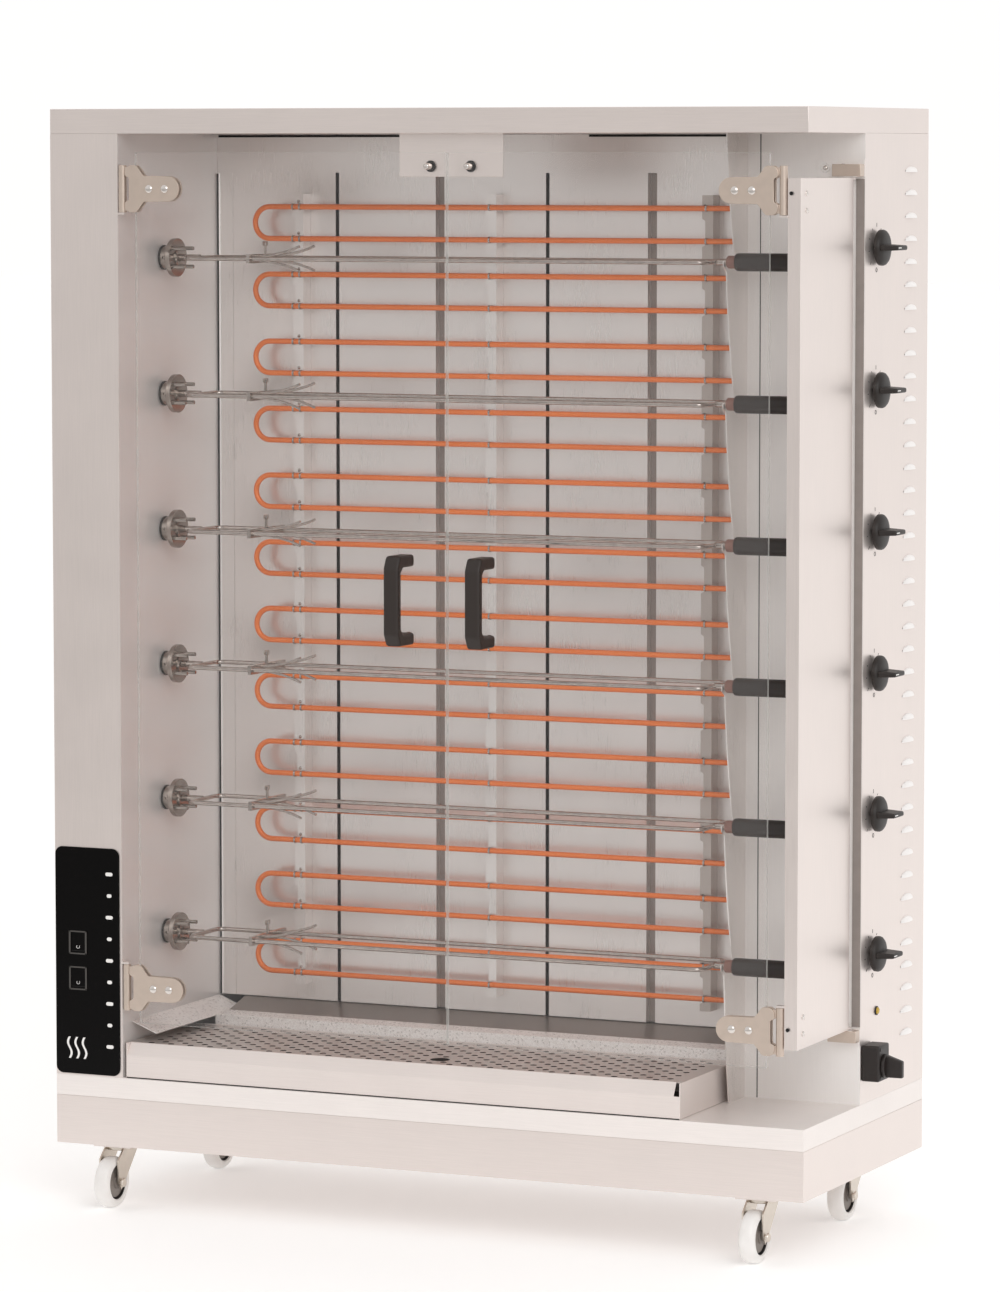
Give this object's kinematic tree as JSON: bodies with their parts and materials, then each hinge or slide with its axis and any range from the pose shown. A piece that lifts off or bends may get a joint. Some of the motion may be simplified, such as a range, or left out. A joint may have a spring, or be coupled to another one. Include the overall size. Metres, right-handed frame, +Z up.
{
  "type": "rotisserie oven",
  "caption": "Floor-standing electric rotisserie oven with glass doors, chain-driven two-rod spits, tubular heating elements, drip tray and swivel casters.",
  "frame": {"origin": "middle of the cabinet's footprint, on the floor", "axes": "+X to the right seen from the front, -Y out of the front, +Z up"},
  "size_m": [1.3094, 0.571, 1.709],
  "materials": {
    "casing_steel": "brushed",
    "black_gloss": "gloss",
    "rocker_black": "gloss",
    "drive_metal": "satin",
    "element_copper": "satin",
    "galvanised": "spangled",
    "bright_steel": "polished",
    "door_glass": "clear",
    "hinge_nickel": "satin",
    "black_nylon": "matte",
    "lamp_lens": "gloss",
    "zinc_steel": "satin",
    "white_nylon": "satin"
  },
  "bodies": {
    "cabinet": {"base_skirt": "casing_steel", "base_deck": "casing_steel", "left_column": "casing_steel", "control_panel": "black_gloss", "spit_drive": "drive_metal", "rest_plate": "casing_steel", "rear_reflector": "casing_steel", "heating_elements": "element_copper", "grease_deflectors": "galvanised", "right_housing": "casing_steel", "rear_cover": "casing_steel", "hood": "casing_steel", "indicator_lamp": "lamp_lens", "main_switch_body": "black_nylon"},
    "left_door": {"left_glass": "door_glass", "left_hinges": "hinge_nickel", "left_handle": "black_nylon"},
    "flap": {"side_flap": "casing_steel"},
    "right_door": {"right_glass": "door_glass", "right_hinges": "hinge_nickel", "right_handle": "black_nylon"},
    "tray": {"drip_tray": "casing_steel"},
    "perforated_insert": {"tray_insert": "casing_steel"},
    "upper_rocker": {"rocker_upper": "rocker_black"},
    "lower_rocker": {"rocker_lower": "rocker_black"},
    "switch_lever": {"main_switch_lever": "black_nylon"},
    "left_catch_plunger": {"catch_pin_left": "bright_steel"},
    "right_catch_plunger": {"catch_pin_right": "bright_steel"},
    "spindle_1": {"chuck_1": "bright_steel"},
    "spit_unit_1": {"spit_1": "bright_steel", "spit_grip_1": "black_nylon"},
    "knob_unit_1": {"knob_1": "black_nylon"},
    "spindle_2": {"chuck_2": "bright_steel"},
    "spit_unit_2": {"spit_2": "bright_steel", "spit_grip_2": "black_nylon"},
    "knob_unit_2": {"knob_2": "black_nylon"},
    "spindle_3": {"chuck_3": "bright_steel"},
    "spit_unit_3": {"spit_3": "bright_steel", "spit_grip_3": "black_nylon"},
    "knob_unit_3": {"knob_3": "black_nylon"},
    "spindle_4": {"chuck_4": "bright_steel"},
    "spit_unit_4": {"spit_4": "bright_steel", "spit_grip_4": "black_nylon"},
    "knob_unit_4": {"knob_4": "black_nylon"},
    "spindle_5": {"chuck_5": "bright_steel"},
    "spit_unit_5": {"spit_5": "bright_steel", "spit_grip_5": "black_nylon"},
    "knob_unit_5": {"knob_5": "black_nylon"},
    "spindle_6": {"chuck_6": "bright_steel"},
    "spit_unit_6": {"spit_6": "bright_steel", "spit_grip_6": "black_nylon"},
    "knob_unit_6": {"knob_6": "black_nylon"},
    "caster_swivel_front_left": {"caster_fork_front_left": "zinc_steel"},
    "caster_roll_front_left": {"caster_wheel_front_left": "white_nylon"},
    "caster_swivel_front_right": {"caster_fork_front_right": "zinc_steel"},
    "caster_roll_front_right": {"caster_wheel_front_right": "white_nylon"},
    "caster_swivel_rear_left": {"caster_fork_rear_left": "zinc_steel"},
    "caster_roll_rear_left": {"caster_wheel_rear_left": "white_nylon"},
    "caster_swivel_rear_right": {"caster_fork_rear_right": "zinc_steel"},
    "caster_roll_rear_right": {"caster_wheel_rear_right": "white_nylon"}
  },
  "joints": [
    {"name": "left_door_swing", "type": "hinge", "parent": "cabinet", "child": "left_door", "pos_m": [-0.5005, -0.253, 0.97], "axis": [0, 0, -1], "range_deg": [0, 105]},
    {"name": "flap_swing", "type": "hinge", "parent": "cabinet", "child": "flap", "pos_m": [0.608, -0.032, 0.965], "axis": [0, 0, 1], "range_deg": [0, 90]},
    {"name": "right_door_swing", "type": "hinge", "parent": "flap", "child": "right_door", "pos_m": [0.586, -0.253, 0.97], "axis": [0, 0, 1], "range_deg": [0, 105]},
    {"name": "tray_slide", "type": "slide", "parent": "cabinet", "child": "tray", "axis": [0, -1, 0], "range_m": [0, 0.2]},
    {"name": "insert_lift", "type": "slide", "parent": "tray", "child": "perforated_insert", "axis": [0, 0, 1], "range_m": [0, 0.012]},
    {"name": "upper_rocker_tilt", "type": "hinge", "parent": "cabinet", "child": "upper_rocker", "pos_m": [-0.5843, -0.252, 0.4175], "axis": [1, 0, 0], "range_deg": [0, 16]},
    {"name": "lower_rocker_tilt", "type": "hinge", "parent": "cabinet", "child": "lower_rocker", "pos_m": [-0.5843, -0.252, 0.3615], "axis": [1, 0, 0], "range_deg": [0, 16]},
    {"name": "switch_lever_turn", "type": "hinge", "parent": "cabinet", "child": "switch_lever", "pos_m": [0.66, 0.0055, 0.2675], "axis": [-1, 0, 0], "range_deg": [0, 90]},
    {"name": "left_catch_push", "type": "slide", "parent": "cabinet", "child": "left_catch_plunger", "axis": [0, 1, 0], "range_m": [0, 0.012], "stiffness_N_per_m": 250, "springref_m": -0.004},
    {"name": "right_catch_push", "type": "slide", "parent": "cabinet", "child": "right_catch_plunger", "axis": [0, 1, 0], "range_m": [0, 0.012], "stiffness_N_per_m": 250, "springref_m": -0.004},
    {"name": "spindle_1_turn", "type": "hinge", "parent": "cabinet", "child": "spindle_1", "pos_m": [-0.508, -0.107, 0.4216], "axis": [1, 0, 0], "continuous": true},
    {"name": "spit_1_withdraw", "type": "slide", "parent": "spindle_1", "child": "spit_unit_1", "axis": [1, 0, 0], "range_m": [0, 0.009]},
    {"name": "knob_1_turn", "type": "hinge", "parent": "cabinet", "child": "knob_unit_1", "pos_m": [0.64, 0.03, 0.4338], "axis": [-1, 0, 0], "range_deg": [0, 270]},
    {"name": "spindle_2_turn", "type": "hinge", "parent": "cabinet", "child": "spindle_2", "pos_m": [-0.508, -0.107, 0.6332], "axis": [1, 0, 0], "continuous": true},
    {"name": "spit_2_withdraw", "type": "slide", "parent": "spindle_2", "child": "spit_unit_2", "axis": [1, 0, 0], "range_m": [0, 0.009]},
    {"name": "knob_2_turn", "type": "hinge", "parent": "cabinet", "child": "knob_unit_2", "pos_m": [0.64, 0.03, 0.6471], "axis": [-1, 0, 0], "range_deg": [0, 270]},
    {"name": "spindle_3_turn", "type": "hinge", "parent": "cabinet", "child": "spindle_3", "pos_m": [-0.508, -0.107, 0.8448], "axis": [1, 0, 0], "continuous": true},
    {"name": "spit_3_withdraw", "type": "slide", "parent": "spindle_3", "child": "spit_unit_3", "axis": [1, 0, 0], "range_m": [0, 0.009]},
    {"name": "knob_3_turn", "type": "hinge", "parent": "cabinet", "child": "knob_unit_3", "pos_m": [0.64, 0.03, 0.8604], "axis": [-1, 0, 0], "range_deg": [0, 270]},
    {"name": "spindle_4_turn", "type": "hinge", "parent": "cabinet", "child": "spindle_4", "pos_m": [-0.508, -0.107, 1.0564], "axis": [1, 0, 0], "continuous": true},
    {"name": "spit_4_withdraw", "type": "slide", "parent": "spindle_4", "child": "spit_unit_4", "axis": [1, 0, 0], "range_m": [0, 0.009]},
    {"name": "knob_4_turn", "type": "hinge", "parent": "cabinet", "child": "knob_unit_4", "pos_m": [0.64, 0.03, 1.0737], "axis": [-1, 0, 0], "range_deg": [0, 270]},
    {"name": "spindle_5_turn", "type": "hinge", "parent": "cabinet", "child": "spindle_5", "pos_m": [-0.508, -0.107, 1.268], "axis": [1, 0, 0], "continuous": true},
    {"name": "spit_5_withdraw", "type": "slide", "parent": "spindle_5", "child": "spit_unit_5", "axis": [1, 0, 0], "range_m": [0, 0.009]},
    {"name": "knob_5_turn", "type": "hinge", "parent": "cabinet", "child": "knob_unit_5", "pos_m": [0.64, 0.03, 1.287], "axis": [-1, 0, 0], "range_deg": [0, 270]},
    {"name": "spindle_6_turn", "type": "hinge", "parent": "cabinet", "child": "spindle_6", "pos_m": [-0.508, -0.107, 1.4796], "axis": [1, 0, 0], "continuous": true},
    {"name": "spit_6_withdraw", "type": "slide", "parent": "spindle_6", "child": "spit_unit_6", "axis": [1, 0, 0], "range_m": [0, 0.009]},
    {"name": "knob_6_turn", "type": "hinge", "parent": "cabinet", "child": "knob_unit_6", "pos_m": [0.64, 0.03, 1.5003], "axis": [-1, 0, 0], "range_deg": [0, 270]},
    {"name": "caster_front_left_swivel", "type": "hinge", "parent": "cabinet", "child": "caster_swivel_front_left", "pos_m": [-0.54, -0.203, 0.095], "axis": [0, 0, 1], "continuous": true},
    {"name": "caster_front_left_roll", "type": "hinge", "parent": "caster_swivel_front_left", "child": "caster_roll_front_left", "pos_m": [-0.54, -0.235, 0.04], "axis": [1, 0, 0], "continuous": true},
    {"name": "caster_front_right_swivel", "type": "hinge", "parent": "cabinet", "child": "caster_swivel_front_right", "pos_m": [0.54, -0.203, 0.095], "axis": [0, 0, 1], "continuous": true},
    {"name": "caster_front_right_roll", "type": "hinge", "parent": "caster_swivel_front_right", "child": "caster_roll_front_right", "pos_m": [0.54, -0.235, 0.04], "axis": [1, 0, 0], "continuous": true},
    {"name": "caster_rear_left_swivel", "type": "hinge", "parent": "cabinet", "child": "caster_swivel_rear_left", "pos_m": [-0.54, 0.165, 0.095], "axis": [0, 0, 1], "continuous": true},
    {"name": "caster_rear_left_roll", "type": "hinge", "parent": "caster_swivel_rear_left", "child": "caster_roll_rear_left", "pos_m": [-0.54, 0.133, 0.04], "axis": [1, 0, 0], "continuous": true},
    {"name": "caster_rear_right_swivel", "type": "hinge", "parent": "cabinet", "child": "caster_swivel_rear_right", "pos_m": [0.54, 0.165, 0.095], "axis": [0, 0, 1], "continuous": true},
    {"name": "caster_rear_right_roll", "type": "hinge", "parent": "caster_swivel_rear_right", "child": "caster_roll_rear_right", "pos_m": [0.54, 0.133, 0.04], "axis": [1, 0, 0], "continuous": true}
  ],
  "couplings": [
    {"joint": "spindle_2_turn", "follows": "spindle_1_turn", "ratio": 1},
    {"joint": "spindle_3_turn", "follows": "spindle_1_turn", "ratio": 1},
    {"joint": "spindle_4_turn", "follows": "spindle_1_turn", "ratio": 1},
    {"joint": "spindle_5_turn", "follows": "spindle_1_turn", "ratio": 1},
    {"joint": "spindle_6_turn", "follows": "spindle_1_turn", "ratio": 1}
  ]
}
